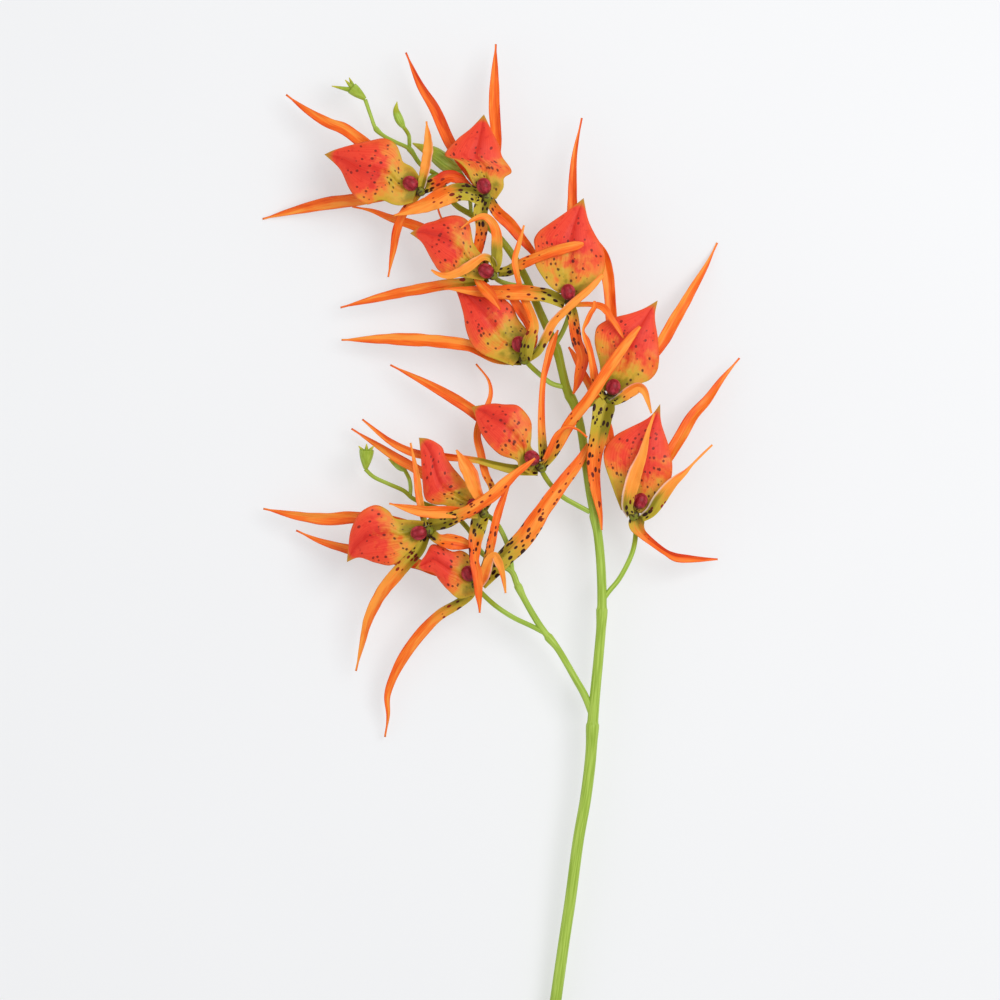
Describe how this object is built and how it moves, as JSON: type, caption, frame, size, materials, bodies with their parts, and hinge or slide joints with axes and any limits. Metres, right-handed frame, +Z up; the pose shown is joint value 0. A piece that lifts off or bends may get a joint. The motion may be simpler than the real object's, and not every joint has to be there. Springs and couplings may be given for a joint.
{
  "type": "spider orchid spray",
  "caption": "Cut, branched spray of orange spider orchids lying flat: spidery tepals, broad crimson lips, round wine-red columns, buds and a long green stem.",
  "frame": {"origin": "the flat on the underside of the stem near its cut end, on the surface that the spray lies on", "axes": "+X to the right and +Y up the spray as seen from above, +Z up"},
  "size_m": [0.2881, 0.6442, 0.054],
  "materials": {
    "stem": "satin yellow-green",
    "tepals": "satin orange, yellow-green with brown spots at the hub",
    "lip": "satin crimson fading to yellow-green, with dark spots",
    "column": "satin wine red"
  },
  "bodies": {
    "root": {"stem": "stem", "bloom_a_tepals": "tepals", "bloom_a_lip": "lip", "bloom_a_column": "column", "bloom_b_tepals": "tepals", "bloom_b_lip": "lip", "bloom_b_column": "column", "bloom_c_tepals": "tepals", "bloom_c_lip": "lip", "bloom_c_column": "column", "bloom_d_tepals": "tepals", "bloom_d_lip": "lip", "bloom_d_column": "column", "bloom_e_tepals": "tepals", "bloom_e_lip": "lip", "bloom_e_column": "column", "bloom_f_tepals": "tepals", "bloom_f_lip": "lip", "bloom_f_column": "column", "bloom_g_tepals": "tepals", "bloom_g_lip": "lip", "bloom_g_column": "column", "bloom_h_tepals": "tepals", "bloom_h_lip": "lip", "bloom_h_column": "column", "bloom_i_tepals": "tepals", "bloom_i_lip": "lip", "bloom_i_column": "column", "bloom_j_tepals": "tepals", "bloom_j_lip": "lip", "bloom_j_column": "column", "bloom_k_tepals": "tepals", "bloom_k_lip": "lip", "bloom_k_column": "column"}
  },
  "joints": []
}
